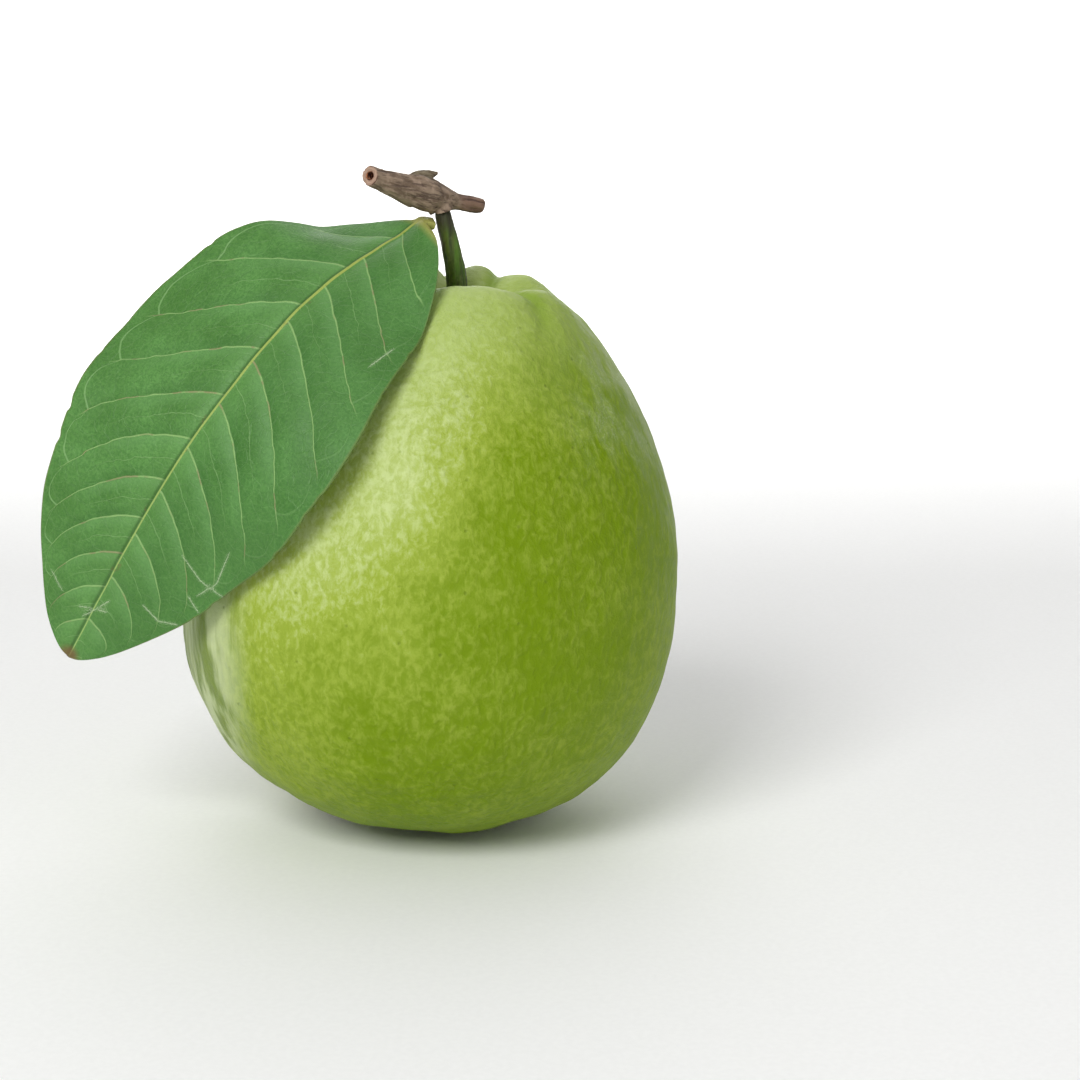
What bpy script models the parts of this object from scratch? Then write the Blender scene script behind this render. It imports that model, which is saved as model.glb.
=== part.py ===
"""A whole guava as picked: the pear-shaped fruit, its green stalk, a short piece of the twig and one leaf.

Metres, +Z up. The origin is the middle of the small flat spot that the fruit stands on.
+X is to the right and -Y to the front, the side that the leaf hangs over.
The fruit is turned about its own axis first, in a frame whose origin is the blossom end,
and is then leaned over and set down on its flat spot.
"""

import math

import bmesh
import bpy
from mathutils import Matrix, Vector, noise
from mathutils.geometry import interpolate_bezier

MM = 0.001
GAP = 0.35 * MM  # air left between two pieces that touch on the real fruit

# The fruit along its own axis
FRUIT_HEIGHT = 109.5 * MM
FRUIT_RADIUS = 47.5 * MM
BELLY_HEIGHT = 44 * MM
NECK_RADIUS = 32 * MM
NECK_HEIGHT = 92 * MM
NECK_SLOPE = Vector((0.62, -0.78))
RIM_RADIUS = 16.5 * MM
CAVITY_DEPTH = 9 * MM
STALK_HOLE_RADIUS = 3.15 * MM
STALK_HOLE_DEPTH = 3 * MM
FRUIT_SIDES = 84
FRUIT_LEAN = math.radians(6.7)
FLAT_SPOT_CUT = 0.35 * MM  # how much of the round underside the flat spot takes off

# How full the outline is: the lengths of its curves' handles, each pair below and above its point
BLOSSOM_END_HANDLE = 31 * MM
BELLY_HANDLES = (27 * MM, 21 * MM)
NECK_HANDLES = (16 * MM, 5.5 * MM)
RIM_HANDLES = (5 * MM, 5 * MM)  # outside and inside the rim
CAVITY_FLOOR_HANDLE = Vector((3, 1.5)) * MM

# The skin's unevenness
BODY_WAVES = ((2, 0.4, 0.010), (3, 2.1, 0.012), (5, 1.0, 0.005))  # count, phase, share of the radius
LUMP_SPACING = 11 * MM
LUMP_HEIGHT = 0.45 * MM
LUMP_FREE_RING = 4 * MM  # the skin round the stalk hole has no lumps
SKIN_CENTRE = Vector((0, 0, 66)) * MM  # lumps and furrows lift and sink the skin away from this point

# Furrows that run out of the stalk cavity: azimuth in degrees, depth in millimetres, width in degrees
SHOULDER_FURROWS = (
    (10, 4, 30),
    (65, 2, 15),
    (105, 3.5, 15),
    (155, 3, 15),
    (-140, 5.5, 45),
    (-50, 2, 30),
)
FURROW_END_RADIUS = 30 * MM
FURROW_LOWEST = 77 * MM
FURROW_FULL_HEIGHT = 93 * MM

# The blossom end: a shallow basin off the axis, with the dried calyx in it
BASIN_OFFSET = Vector((-10.5, 2.5, 0)) * MM
BASIN_RADIUS = 12.5 * MM
BASIN_DEPTH = 5.2 * MM
BASIN_PUCKER = 0.10
CALYX_RADIUS = 5.8 * MM
CALYX_THICKNESS = 0.9 * MM
CALYX_CLEARANCE = 0.5 * MM  # at its margin, and twice that in its middle
CALYX_RINGS = 6
CRUST_RELIEF = 0.25 * MM
CRUST_SPACING = 1.6 * MM
SEPAL_COUNT = 5
SEPAL_START = 0.5  # share of the radius
SEPAL_LENGTH = 2.1 * MM
SEPAL_CURL = 0.5 * MM
CURL_START = 0.7
STYLE_RADIUS = 1.1 * MM
STYLE_HEIGHT = 1.1 * MM

# The stalk, from its foot in the fruit up to the twig
STALK_FOOT_OFFSET = Vector((-0.75, 0, 0)) * MM
STALK_RISE = Vector((-2.65, -1.0, 22.1)) * MM
STALK_FOOT_WAY = Vector((1.15, 0, 7)) * MM
STALK_TOP_WAY = Vector((-2.0, -0.3, 7.2)) * MM
STALK_RADII = (2.05 * MM, 2.05 * MM, 1.9 * MM, 1.6 * MM, 1.55 * MM)

# The twig, whose places are measured from its joint just above the stalk
JOINT_ABOVE_STALK = Vector((-0.7, 0, 2.7)) * MM
TWIG_CUT_END = Vector((-12.2, -10.0, 4.75)) * MM
TWIG_FAR_END = Vector((8.3, 5.5, -2.2)) * MM
OBLIQUE_CUT = Vector((0.10, 0.75, 0.05))
CUT_SETTLED = 0.4  # share of the way to the joint over which the cut's slant is gone
# Share of the way from the cut end to the joint, or from the joint to the far end, and radius in mm
OLDER_RADII = ((0, 1.85), (0.16, 2.0), (0.42, 2.55), (0.66, 3.3), (0.86, 3.45))
TWIG_SAG = Vector((0, 0, -0.25)) * MM  # how far the thick part hangs below a straight line
JOINT_RADIUS = 2.8 * MM
YOUNGER_RADII = ((0.28, 2.0), (0.42, 1.6), (0.94, 1.45), (1, 1.1))
COLLAR_RADIUS = 2.4 * MM
COLLAR_DROP = 0.1 * MM
COLLAR_HEIGHT = 2.2 * MM
STALK_SOCKET_DEPTH = 1.0 * MM
BUD_FOOT = Vector((-4.4, -1.6, 3.6)) * MM
BUD_WAY = Vector((0.95, 0.25, 0.10)).normalized()
BUD_SLOPE = 0.117
BUD_RADII = ((-1.5, 0.9), (1.0, 1.5), (3.0, 1.0), (4.6, 0.25))  # distance along the bud and radius in mm
PITH_RADIUS = 0.8 * MM
PITH_DEPTH = 2.2 * MM

# The leaf: the places that its midrib goes through, in millimetres from the petiole's root.
# Left and down are read off the photograph, and forward is far enough to clear the fruit.
PETIOLE_ROOT = Vector((-1.45, -1.4, -1.9)) * MM
PETIOLE_WAY = Vector((-0.87, -0.35, 0.35)).normalized()
MIDRIB_PLACES = (
    (0, 0, 0),
    (-2.4, -1.1, 0.3),
    (-22, -17, -12),
    (-40, -27, -32.5),
    (-53, -25, -52),
    (-69, -19, -80),
)
PETIOLE_LENGTH = 2.8 * MM
PETIOLE_HALF_WIDTH = 1.15 * MM
PETIOLE_THICKNESS = 1.9 * MM
PETIOLE_FLATTENING = 0.8
PETIOLE_ROWS = (-1, -0.6, -0.25)  # rows of points along it, up to the blade
PETIOLE_END = 0.06  # share of the leaf where its thickness has turned into the blade's
PETIOLE_WIDTH_END = 0.1  # and where its width has
LEAF_HALF_WIDTHS = (30.5 * MM, 29.5 * MM)  # left and right, here and below
LEAF_WIDEST = (0.50, 0.48)
BASE_ROUNDING = (2.8, 1.3)
TIP_ROUNDING = (1.3, 1.4)
BASE_FULLNESS = (1.0, 0.4)
TIP_FULLNESS = (0.6, 0.7)
TIP_HALF_WIDTH = 0.3 * MM
MARGIN_WAVE = 0.012
LEAF_THICKNESS = 0.8 * MM
MIDRIB_DEPTH = 1.1 * MM
MIDRIB_TAPER = 0.75  # how much of that depth is gone at the tip
MIDRIB_WIDTH = 1.5 * MM
MIDRIB_GROOVE = 0.5 * MM
BLADE_STEP = 12 * MM  # the blade follows the midrib's bends only over this length
BLADE_STEP_START = -2 * MM  # where along the petiole the step begins to grow to it
BLADE_STEP_END = 6 * MM

MARGIN_FALLS = (1.5 * MM, 2 * MM)  # how far the left and right margins lie below the blade's middle

# How far the blade is rolled about its midrib, the right half to the front:
# next to the petiole it faces up, in the middle up and to the front, and at the tip nearly to the front
BLADE_ROLL = math.radians(40)
BASE_ROLL = math.radians(32)
BASE_ROLL_END = 0.2
TIP_ROLL = math.radians(-18)
TIP_ROLL_START = 0.4
TIP_ROLL_STRETCH = 0.4
SIDE_VEINS = 10
VEIN_SWEEP = 0.20  # how far along the leaf a side vein runs on its way to the margin
VEIN_RELIEF = 0.28 * MM
VEIN_FREE_STRIP = 5 * MM  # beside the midrib
ROWS_PER_VEIN = 4
LEAF_COLUMNS = 8  # on each side of the midrib


def material(name, colour, roughness):
    """A plain Principled material."""
    made = bpy.data.materials.new(name)
    made.use_nodes = True
    shader = made.node_tree.nodes["Principled BSDF"]
    shader.inputs["Base Color"].default_value = (*colour, 1)
    shader.inputs["Roughness"].default_value = roughness
    shader.inputs["Metallic"].default_value = 0
    return made


def finished(name, bm, finish=None, smooth_angle=math.radians(35)):
    """Turns a closed bmesh into a named, smooth-shaded object."""
    bmesh.ops.recalc_face_normals(bm, faces=bm.faces)
    mesh = bpy.data.meshes.new(name)
    bm.to_mesh(mesh)
    bm.free()
    mesh.shade_smooth()
    mesh.set_sharp_from_angle(angle=smooth_angle)
    if finish:
        mesh.materials.append(finish)
    made = bpy.data.objects.new(name, mesh)
    bpy.context.scene.collection.objects.link(made)
    return made


def ease(value):
    """A smooth step from 0 to 1."""
    value = min(1, max(0, value))
    return value * value * (3 - 2 * value)


def fruit_outline():
    """Half of the fruit's section, from the blossom end up over the rim to the floor of the stalk hole."""
    floor = FRUIT_HEIGHT - CAVITY_DEPTH
    pole = Vector((0, 0))
    belly = Vector((FRUIT_RADIUS, BELLY_HEIGHT))
    neck = Vector((NECK_RADIUS, NECK_HEIGHT))
    rim = Vector((RIM_RADIUS, FRUIT_HEIGHT))
    mouth = Vector((STALK_HOLE_RADIUS, floor))
    outward, upward = Vector((1, 0)), Vector((0, 1))
    stretches = (
        (pole, pole + BLOSSOM_END_HANDLE * outward, belly - BELLY_HANDLES[0] * upward, belly, 24),
        (belly, belly + BELLY_HANDLES[1] * upward, neck + NECK_HANDLES[0] * NECK_SLOPE, neck, 13),
        (neck, neck - NECK_HANDLES[1] * NECK_SLOPE, rim + RIM_HANDLES[0] * outward, rim, 9),
        (rim, rim - RIM_HANDLES[1] * outward, mouth + CAVITY_FLOOR_HANDLE, mouth, 7),
    )
    points = [pole]
    for start, leaving, arriving, end, count in stretches:
        points += interpolate_bezier(start, leaving, arriving, end, count)[1:]
    bottom = floor - STALK_HOLE_DEPTH
    points += [Vector((STALK_HOLE_RADIUS, bottom)), Vector((0, bottom))]
    return points


def furrow_depth(azimuth, radius, height):
    """Depth of the furrows at a place on the skin: deepest on the rim, gone at the neck and the hole."""
    outside = ease((FURROW_END_RADIUS - radius) / (FURROW_END_RADIUS - RIM_RADIUS))
    inside = ease((radius - STALK_HOLE_RADIUS) / (RIM_RADIUS - STALK_HOLE_RADIUS))
    high = ease((height - FURROW_LOWEST) / (FURROW_FULL_HEIGHT - FURROW_LOWEST))
    depth = 0
    for middle, deepest, width in SHOULDER_FURROWS:
        away = (math.degrees(azimuth) - middle + 180) % 360 - 180
        depth += deepest * MM * math.exp(-((away / width) ** 2))
    return depth * outside * inside * high


def grown(point):
    """Moves a point of the turned fruit to where the real, uneven skin is."""
    radius = math.hypot(point.x, point.y)
    azimuth = math.atan2(point.y, point.x)
    bulge = math.sin(math.pi * min(1, point.z / FRUIT_HEIGHT))
    clear_of_hole = ease((radius - STALK_HOLE_RADIUS) / LUMP_FREE_RING)
    waves = 1 + bulge * sum(share * math.cos(count * azimuth + phase) for count, phase, share in BODY_WAVES)
    moved = Vector((point.x * waves, point.y * waves, point.z))
    outward = (point - SKIN_CENTRE).normalized()
    moved -= outward * furrow_depth(azimuth, radius, point.z)
    lumps = noise.noise(point / LUMP_SPACING) + 0.5 * noise.noise(point / (0.5 * LUMP_SPACING))
    moved += outward * lumps * LUMP_HEIGHT * clear_of_hole
    if point.z < BELLY_HEIGHT / 2:
        flat = Vector((point.x, point.y, 0)) - BASIN_OFFSET
        inside = max(0, 1 - (flat.length / BASIN_RADIUS) ** 2)
        pucker = 1 - BASIN_PUCKER * math.cos(SEPAL_COUNT * math.atan2(flat.y, flat.x))
        moved.z += BASIN_DEPTH * pucker * inside**2
    return moved


def make_fruit():
    """Spins the outline, grows the skin, leans the fruit over and cuts its flat spot. Gives its pose too."""
    bm = bmesh.new()
    outline = [bm.verts.new((point.x, 0, point.y)) for point in fruit_outline()]
    edges = [bm.edges.new(pair) for pair in zip(outline, outline[1:])]
    bmesh.ops.spin(
        bm,
        geom=outline + edges,
        cent=(0, 0, 0),
        axis=(0, 0, 1),
        angle=2 * math.pi,
        steps=FRUIT_SIDES,
        use_merge=True,
    )
    bmesh.ops.remove_doubles(bm, verts=bm.verts, dist=0.001 * MM)
    for vert in bm.verts:
        vert.co = grown(vert.co)
    lean = Matrix.Rotation(FRUIT_LEAN, 4, "Y")
    bmesh.ops.transform(bm, matrix=lean, verts=bm.verts)
    down = Matrix.Translation((0, 0, -FLAT_SPOT_CUT - min(vert.co.z for vert in bm.verts)))
    bmesh.ops.transform(bm, matrix=down, verts=bm.verts)
    cut = bmesh.ops.bisect_plane(
        bm,
        geom=bm.verts[:] + bm.edges[:] + bm.faces[:],
        plane_co=(0, 0, 0),
        plane_no=(0, 0, 1),
        clear_inner=True,
    )["geom_cut"]
    bmesh.ops.contextual_create(bm, geom=[item for item in cut if isinstance(item, bmesh.types.BMEdge)])
    edge_of_spot = [item.co for item in cut if isinstance(item, bmesh.types.BMVert)]
    middle = sum(edge_of_spot, Vector()) / len(edge_of_spot)
    across = Matrix.Translation((-middle.x, -middle.y, 0))
    bmesh.ops.transform(bm, matrix=across, verts=bm.verts)
    skin = material("guava_skin", (0.42, 0.58, 0.12), 0.42)
    return finished("fruit", bm, skin, math.radians(60)), across @ down @ lean


def make_calyx(fruit, pose):
    """The dried calyx: a crusty brown dish with five short sepals, a little clear of the basin's floor."""
    middle = pose @ BASIN_OFFSET
    sides = 8 * SEPAL_COUNT
    bm = bmesh.new()
    upper, lower = [], []
    for ring in range(CALYX_RINGS + 1):
        share = ring / CALYX_RINGS
        above, under = [], []
        for side in range(sides if ring else 1):
            turn = 2 * math.pi * side / sides
            lobe = abs(math.sin(0.5 * SEPAL_COUNT * turn)) ** 1.5
            sepal = SEPAL_LENGTH * lobe * ease((share - SEPAL_START) / (1 - SEPAL_START))
            radius = share * (CALYX_RADIUS + sepal)
            below = Vector((middle.x + radius * math.cos(turn), middle.y + radius * math.sin(turn), -MM))
            hit, skin, out, face = fruit.ray_cast(below, Vector((0, 0, 1)))
            curl = SEPAL_CURL * lobe * ease((share - CURL_START) / (1 - CURL_START))
            crust = CRUST_RELIEF * noise.noise(below / CRUST_SPACING)
            style = STYLE_HEIGHT * math.exp(-((radius / STYLE_RADIUS) ** 2))
            inner = skin + out * (CALYX_CLEARANCE * (2 - share) + curl)
            above.append(bm.verts.new(inner))
            under.append(bm.verts.new(inner + out * (CALYX_THICKNESS + crust + style)))
        upper.append(above * (sides // len(above)))
        lower.append(under * (sides // len(under)))
    for rings in (upper, lower):
        for ring, following in zip(rings, rings[1:]):
            for i in range(sides):
                j = (i + 1) % sides
                bm.faces.new(dict.fromkeys((ring[i], following[i], following[j], ring[j])))
    for i in range(sides):
        j = (i + 1) % sides
        bm.faces.new((upper[-1][i], upper[-1][j], lower[-1][j], lower[-1][i]))
    return finished("calyx", bm, material("calyx_dry", (0.13, 0.07, 0.04), 0.95))


def loft(bm, stations, sides):
    """Joins rings round a line into a closed tube. A station is a centre, a direction and a radius."""
    rings = []
    for centre, direction, radius in stations:
        across = direction.cross(Vector((0, -1, 0))).normalized()
        front = across.cross(direction).normalized()
        turns = [2 * math.pi * i / sides for i in range(sides)]
        spokes = [across * math.cos(turn) + front * math.sin(turn) for turn in turns]
        rings.append([bm.verts.new(centre + radius * spoke) for spoke in spokes])
    for ring, following in zip(rings, rings[1:]):
        for i in range(sides):
            j = (i + 1) % sides
            bm.faces.new((ring[i], ring[j], following[j], following[i]))
    bm.faces.new(rings[0])
    bm.faces.new(rings[-1])


def make_stalk(foot):
    """The green stalk: it stands in its hole in the fruit and ends in the twig. Gives its top and way."""
    top = foot + STALK_RISE
    count = 2 * len(STALK_RADII) - 1
    line = interpolate_bezier(foot, foot + STALK_FOOT_WAY, top - STALK_TOP_WAY, top, count)
    stations = []
    for i, centre in enumerate(line):
        radius = (STALK_RADII[i // 2] + STALK_RADII[(i + 1) // 2]) / 2
        before, after = line[max(i - 1, 0)], line[min(i + 1, len(line) - 1)]
        stations.append((centre, (after - before).normalized(), radius))
    bm = bmesh.new()
    loft(bm, stations, 14)
    finished("stalk", bm, material("stalk_green", (0.16, 0.20, 0.05), 0.6))
    return top, stations[-1][1]


def work(target, stations, sides, operation):
    """Joins a tube to a piece or cuts it out of it, for good."""
    bm = bmesh.new()
    loft(bm, stations, sides)
    tool = finished("tool", bm)
    step = target.modifiers.new("work", "BOOLEAN")
    step.operation = operation
    step.object = tool
    step.solver = "EXACT"
    graph = bpy.context.evaluated_depsgraph_get()
    target.data = bpy.data.meshes.new_from_object(target.evaluated_get(graph))
    target.modifiers.clear()
    bpy.data.objects.remove(tool)


def make_twig(stalk_top, stalk_way, root):
    """The cut piece of twig: thick towards the older, cut end, swollen at the joint, with a bud on top."""
    joint = stalk_top + JOINT_ABOVE_STALK
    cut_end, far_end = joint + TWIG_CUT_END, joint + TWIG_FAR_END
    older, younger = -TWIG_CUT_END.normalized(), TWIG_FAR_END.normalized()
    cut_face = (older + OBLIQUE_CUT).normalized()
    stations = []
    for share, radius in OLDER_RADII:
        settled = ease(share / CUT_SETTLED)
        centre = cut_end.lerp(joint, share) + settled * TWIG_SAG
        stations.append((centre, cut_face.lerp(older, settled), radius * MM))
    stations.append((joint, (older + younger).normalized(), JOINT_RADIUS))
    for share, radius in YOUNGER_RADII:
        stations.append((joint.lerp(far_end, share), younger, radius * MM))
    bm = bmesh.new()
    loft(bm, stations, 18)
    twig = finished("twig", bm, material("twig_bark", (0.26, 0.18, 0.12), 0.85))
    bud = joint + BUD_FOOT
    stations = []
    for distance, radius in BUD_RADII:
        centre = bud + distance * MM * (BUD_WAY + Vector((0, 0, BUD_SLOPE)))
        stations.append((centre, BUD_WAY, radius * MM))
    work(twig, stations, 10, "UNION")
    work(twig, [
        (stalk_top - stalk_way * COLLAR_DROP, stalk_way, COLLAR_RADIUS),
        (stalk_top + stalk_way * COLLAR_HEIGHT, stalk_way, COLLAR_RADIUS),
    ], 16, "UNION")
    socket = STALK_RADII[-1] + GAP
    work(twig, [
        (stalk_top - stalk_way * 3 * STALK_SOCKET_DEPTH, stalk_way, socket),
        (stalk_top + stalk_way * GAP, stalk_way, socket),
    ], 16, "DIFFERENCE")
    socket = max(PETIOLE_HALF_WIDTH, PETIOLE_THICKNESS / 2) + 2 * GAP
    work(twig, [
        (root - PETIOLE_WAY * GAP, PETIOLE_WAY, socket),
        (root + PETIOLE_WAY * 2 * PETIOLE_LENGTH, PETIOLE_WAY, socket),
    ], 12, "DIFFERENCE")
    work(twig, [
        (cut_end - cut_face * MM, cut_face, PITH_RADIUS),
        (cut_end + cut_face * PITH_DEPTH, cut_face, 0.8 * PITH_RADIUS),
    ], 10, "DIFFERENCE")


def leaf_outline(along, half):
    """Width of the left (0) or right (1) half of the blade: round at the base, with a short tip."""
    widest = LEAF_WIDEST[half]
    reach = widest if along < widest else 1 - widest
    rounding = BASE_ROUNDING[half] if along < widest else TIP_ROUNDING[half]
    fullness = BASE_FULLNESS[half] if along < widest else TIP_FULLNESS[half]
    off = min(1, abs(along - widest) / reach)
    wave = 1 + MARGIN_WAVE * math.sin(2 * math.pi * (0.5 * SIDE_VEINS * along + 0.2))
    blade = LEAF_HALF_WIDTHS[half] * (1 - off**rounding) ** fullness * wave
    return max(blade, PETIOLE_HALF_WIDTH * (1 - ease(along / PETIOLE_WIDTH_END)) + TIP_HALF_WIDTH)


def midrib_line(root):
    """The midrib's curve from the petiole's root to the drooping tip, as (distance, point) pairs."""
    places = [root + Vector(place) * MM for place in MIDRIB_PLACES]
    ways = [PETIOLE_WAY]
    ways += [(after - before).normalized() for before, after in zip(places, places[2:])]
    ways.append((places[-1] - places[-2]).normalized())
    points = []
    for first, last, leaving, arriving in zip(places, places[1:], ways, ways[1:]):
        reach = (last - first).length / 3
        curve = interpolate_bezier(first, first + leaving * reach, last - arriving * reach, last, 50)
        points += curve[1 if points else 0 :]
    line = [(0, points[0])]
    for before, after in zip(points, points[1:]):
        line.append((line[-1][0] + (after - before).length, after))
    return line


def midrib_at(line, distance):
    """The place at a distance along the midrib, or straight on from its ends."""
    index = next((i for i in range(1, len(line)) if line[i][0] > distance), len(line) - 1)
    (start, before), (end, after) = line[index - 1], line[index]
    return before + (after - before) * (distance - start) / (end - start)


def blade_point(line, along, across, lift):
    """A point of the blade from its share along the leaf, its distance across and its height off the face."""
    distance = PETIOLE_LENGTH + along * (line[-1][0] - PETIOLE_LENGTH)
    centre = midrib_at(line, distance)
    step = BLADE_STEP * ease((distance - BLADE_STEP_START) / (BLADE_STEP_END - BLADE_STEP_START)) + MM
    direction = (midrib_at(line, distance + step) - midrib_at(line, distance - step)).normalized()
    level = Vector((0, -1, 0)).cross(direction).normalized()
    facing = direction.cross(level).normalized()
    roll = BLADE_ROLL + BASE_ROLL * (1 - ease(along / BASE_ROLL_END))
    roll += TIP_ROLL * ease((along - TIP_ROLL_START) / TIP_ROLL_STRETCH)
    side = level * math.cos(roll) + facing * math.sin(roll)
    face = facing * math.cos(roll) - level * math.sin(roll)
    fall = MARGIN_FALLS[int(across > 0)] * (across / LEAF_HALF_WIDTHS[1]) ** 2
    groove = MIDRIB_GROOVE * math.exp(-((across / MIDRIB_WIDTH) ** 2))
    return centre + side * across + face * (lift - fall - groove)


def leaf_row(line, row):
    """The closed ring of points of one row, swept forward as a side vein is. Below 0 is the petiole."""
    station = max(0, row)
    petiole = 1 - ease(station / PETIOLE_END)
    top, under = [], []
    for i in range(-LEAF_COLUMNS, LEAF_COLUMNS + 1):
        column = i / LEAF_COLUMNS
        sweep = VEIN_SWEEP * 4 * station * (1 - station) * abs(column) ** 1.5
        along = min(1, station + sweep)
        width = leaf_outline(along, int(column > 0))
        if row < 0:
            along = row * PETIOLE_LENGTH / line[-1][0]
        across = column * width
        rounded = math.sqrt(1 - PETIOLE_FLATTENING * column**2)
        rib = MIDRIB_DEPTH * (1 - MIDRIB_TAPER * station) * math.exp(-((across / MIDRIB_WIDTH) ** 2))
        thickness = (LEAF_THICKNESS + rib) * (1 - petiole) + PETIOLE_THICKNESS * rounded * petiole
        vein = math.cos(2 * math.pi * SIDE_VEINS * station) * min(1, abs(across) / VEIN_FREE_STRIP)
        lift = -VEIN_RELIEF * vein * (1 - petiole) * (1 - abs(column) ** 3) + 0.5 * thickness * petiole
        top.append(blade_point(line, along, across, lift))
        under.append(blade_point(line, along, across, lift - thickness))
    return top + under[::-1]


def make_leaf(line):
    """One closed blade with its midrib and petiole, split into triangles alike on both faces."""
    count = SIDE_VEINS * ROWS_PER_VEIN
    rows = [*PETIOLE_ROWS, *(i / count for i in range(count + 1))]
    bm = bmesh.new()
    rings = [[bm.verts.new(point) for point in leaf_row(line, row)] for row in rows]
    around = len(rings[0])
    for ring, following in zip(rings, rings[1:]):
        for i in range(around):
            j = (i + 1) % around
            if i < around // 2:
                bm.faces.new((ring[i], ring[j], following[j]))
                bm.faces.new((ring[i], following[j], following[i]))
            else:
                bm.faces.new((ring[i], ring[j], following[i]))
                bm.faces.new((ring[j], following[j], following[i]))
    bm.faces.new(rings[0])
    bm.faces.new(rings[-1])
    finished("leaf", bm, material("leaf_green", (0.10, 0.27, 0.07), 0.5))


def build():
    for old in list(bpy.data.objects):
        bpy.data.objects.remove(old)
    fruit, pose = make_fruit()
    make_calyx(fruit, pose)
    hole_floor = FRUIT_HEIGHT - CAVITY_DEPTH - STALK_HOLE_DEPTH
    stalk_top, stalk_way = make_stalk(pose @ (Vector((0, 0, hole_floor + GAP)) + STALK_FOOT_OFFSET))
    root = stalk_top + PETIOLE_ROOT
    make_twig(stalk_top, stalk_way, root)
    make_leaf(midrib_line(root))


build()
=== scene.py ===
import math
from bisect import bisect

import bpy
import numpy as np
from mathutils import Matrix, Vector, noise
from mathutils.geometry import interpolate_bezier


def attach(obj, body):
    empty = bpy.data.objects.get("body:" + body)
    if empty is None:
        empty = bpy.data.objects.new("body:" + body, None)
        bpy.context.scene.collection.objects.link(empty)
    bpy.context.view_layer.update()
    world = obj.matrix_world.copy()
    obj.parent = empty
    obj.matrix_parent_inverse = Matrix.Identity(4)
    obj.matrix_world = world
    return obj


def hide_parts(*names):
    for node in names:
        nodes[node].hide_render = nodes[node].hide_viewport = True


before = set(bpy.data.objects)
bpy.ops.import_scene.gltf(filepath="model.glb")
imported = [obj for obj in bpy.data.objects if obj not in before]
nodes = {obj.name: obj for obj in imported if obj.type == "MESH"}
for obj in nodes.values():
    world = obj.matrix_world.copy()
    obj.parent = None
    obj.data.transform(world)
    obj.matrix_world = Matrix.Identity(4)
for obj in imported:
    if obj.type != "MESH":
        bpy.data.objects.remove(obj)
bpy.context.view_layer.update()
MM = 0.001

# Fruit: one grown berry, firm flesh under a thin waxy skin. It hung from its stalk until it was picked.
# The skin is finely pebbled, yellow-green with paler flecks and wisps and tiny dark pores,
# and furrows and sharp folds run over the shoulder into the stalk cavity.


def only(piece):
    """Leaves one piece selected and active."""
    bpy.ops.object.select_all(action="DESELECT")
    piece.select_set(True)
    bpy.context.view_layer.objects.active = piece


def copy_of(node):
    """A new piece with the mesh of a CAD node, its loose triangles welded into quads."""
    piece = bpy.data.objects.new(node + "_grown", nodes[node].data.copy())
    bpy.context.scene.collection.objects.link(piece)
    piece.data.materials.clear()
    only(piece)
    bpy.ops.mesh.customdata_custom_splitnormals_clear()
    bpy.ops.object.mode_set(mode="EDIT")
    bpy.ops.mesh.select_all(action="SELECT")
    bpy.ops.mesh.remove_doubles(threshold=0.005 * MM)
    bpy.ops.mesh.tris_convert_to_quads(face_threshold=math.radians(40), shape_threshold=math.radians(60))
    bpy.ops.object.mode_set(mode="OBJECT")
    return piece


def finish_with(piece, kind, **settings):
    """Gives a piece a modifier and applies it."""
    only(piece)
    step = piece.modifiers.new(kind.lower(), kind)
    for name, value in settings.items():
        setattr(step, name, value)
    bpy.ops.object.modifier_apply(modifier=step.name)


def roughen(piece, height, spacing, turn=Matrix.Identity(3)):
    """Lifts and sinks the surface by soft noise, its spacing given along three axes that may be turned."""
    normals = [vert.normal.copy() for vert in piece.data.vertices]
    for vert, normal in zip(piece.data.vertices, normals):
        place = turn @ vert.co
        vert.co += normal * height * noise.noise(Vector((place[i] / spacing[i] for i in range(3))))


def paint(red, green, blue):
    """A colour as a paint chart gives it, 0 to 255, made ready for a shader socket."""
    return tuple((value / 255) ** 2.2 for value in (red, green, blue)) + (1,)


def new_finish(name):
    """An empty procedural material: gives it, its node tree and its Principled shader."""
    finish = bpy.data.materials.new(name)
    finish.use_nodes = True
    return finish, finish.node_tree, finish.node_tree.nodes["Principled BSDF"]


def add(tree, kind, inputs=None, **settings):
    """Puts a node in a tree. An input is given a value or another node's output."""
    made = tree.nodes.new(kind)
    for name, value in settings.items():
        setattr(made, name, value)
    for socket, value in (inputs or {}).items():
        if isinstance(value, bpy.types.NodeSocket):
            tree.links.new(value, made.inputs[socket])
        else:
            made.inputs[socket].default_value = value
    return made


def sum_of(tree, operation, *values):
    """The output of a Math node."""
    return add(tree, "ShaderNodeMath", dict(enumerate(values)), operation=operation).outputs[0]


def blend(tree, share, under, over, mode="MIX"):
    """One colour laid over another by a share."""
    inputs = {0: share, 6: under, 7: over}
    return add(tree, "ShaderNodeMix", inputs, data_type="RGBA", blend_type=mode).outputs[2]


def tint(tree, share, strength, under, over):
    """One colour laid over another by a share that is weakened first."""
    return blend(tree, sum_of(tree, "MULTIPLY", share, strength), under, over)


def noise_of(tree, coords, scale, detail=2.0, roughness=0.5, output="Fac"):
    """The value of a noise texture, or its colour."""
    inputs = {"Vector": coords, "Scale": scale, "Detail": detail, "Roughness": roughness}
    return add(tree, "ShaderNodeTexNoise", inputs).outputs[output]


def rise(tree, value, low, high, start=0.0, end=1.0):
    """A smooth change from start to end as the value goes from low to high."""
    inputs = {"Value": value, 1: low, 2: high, 3: start, 4: end}
    return add(tree, "ShaderNodeMapRange", inputs, interpolation_type="SMOOTHSTEP").outputs[0]


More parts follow.
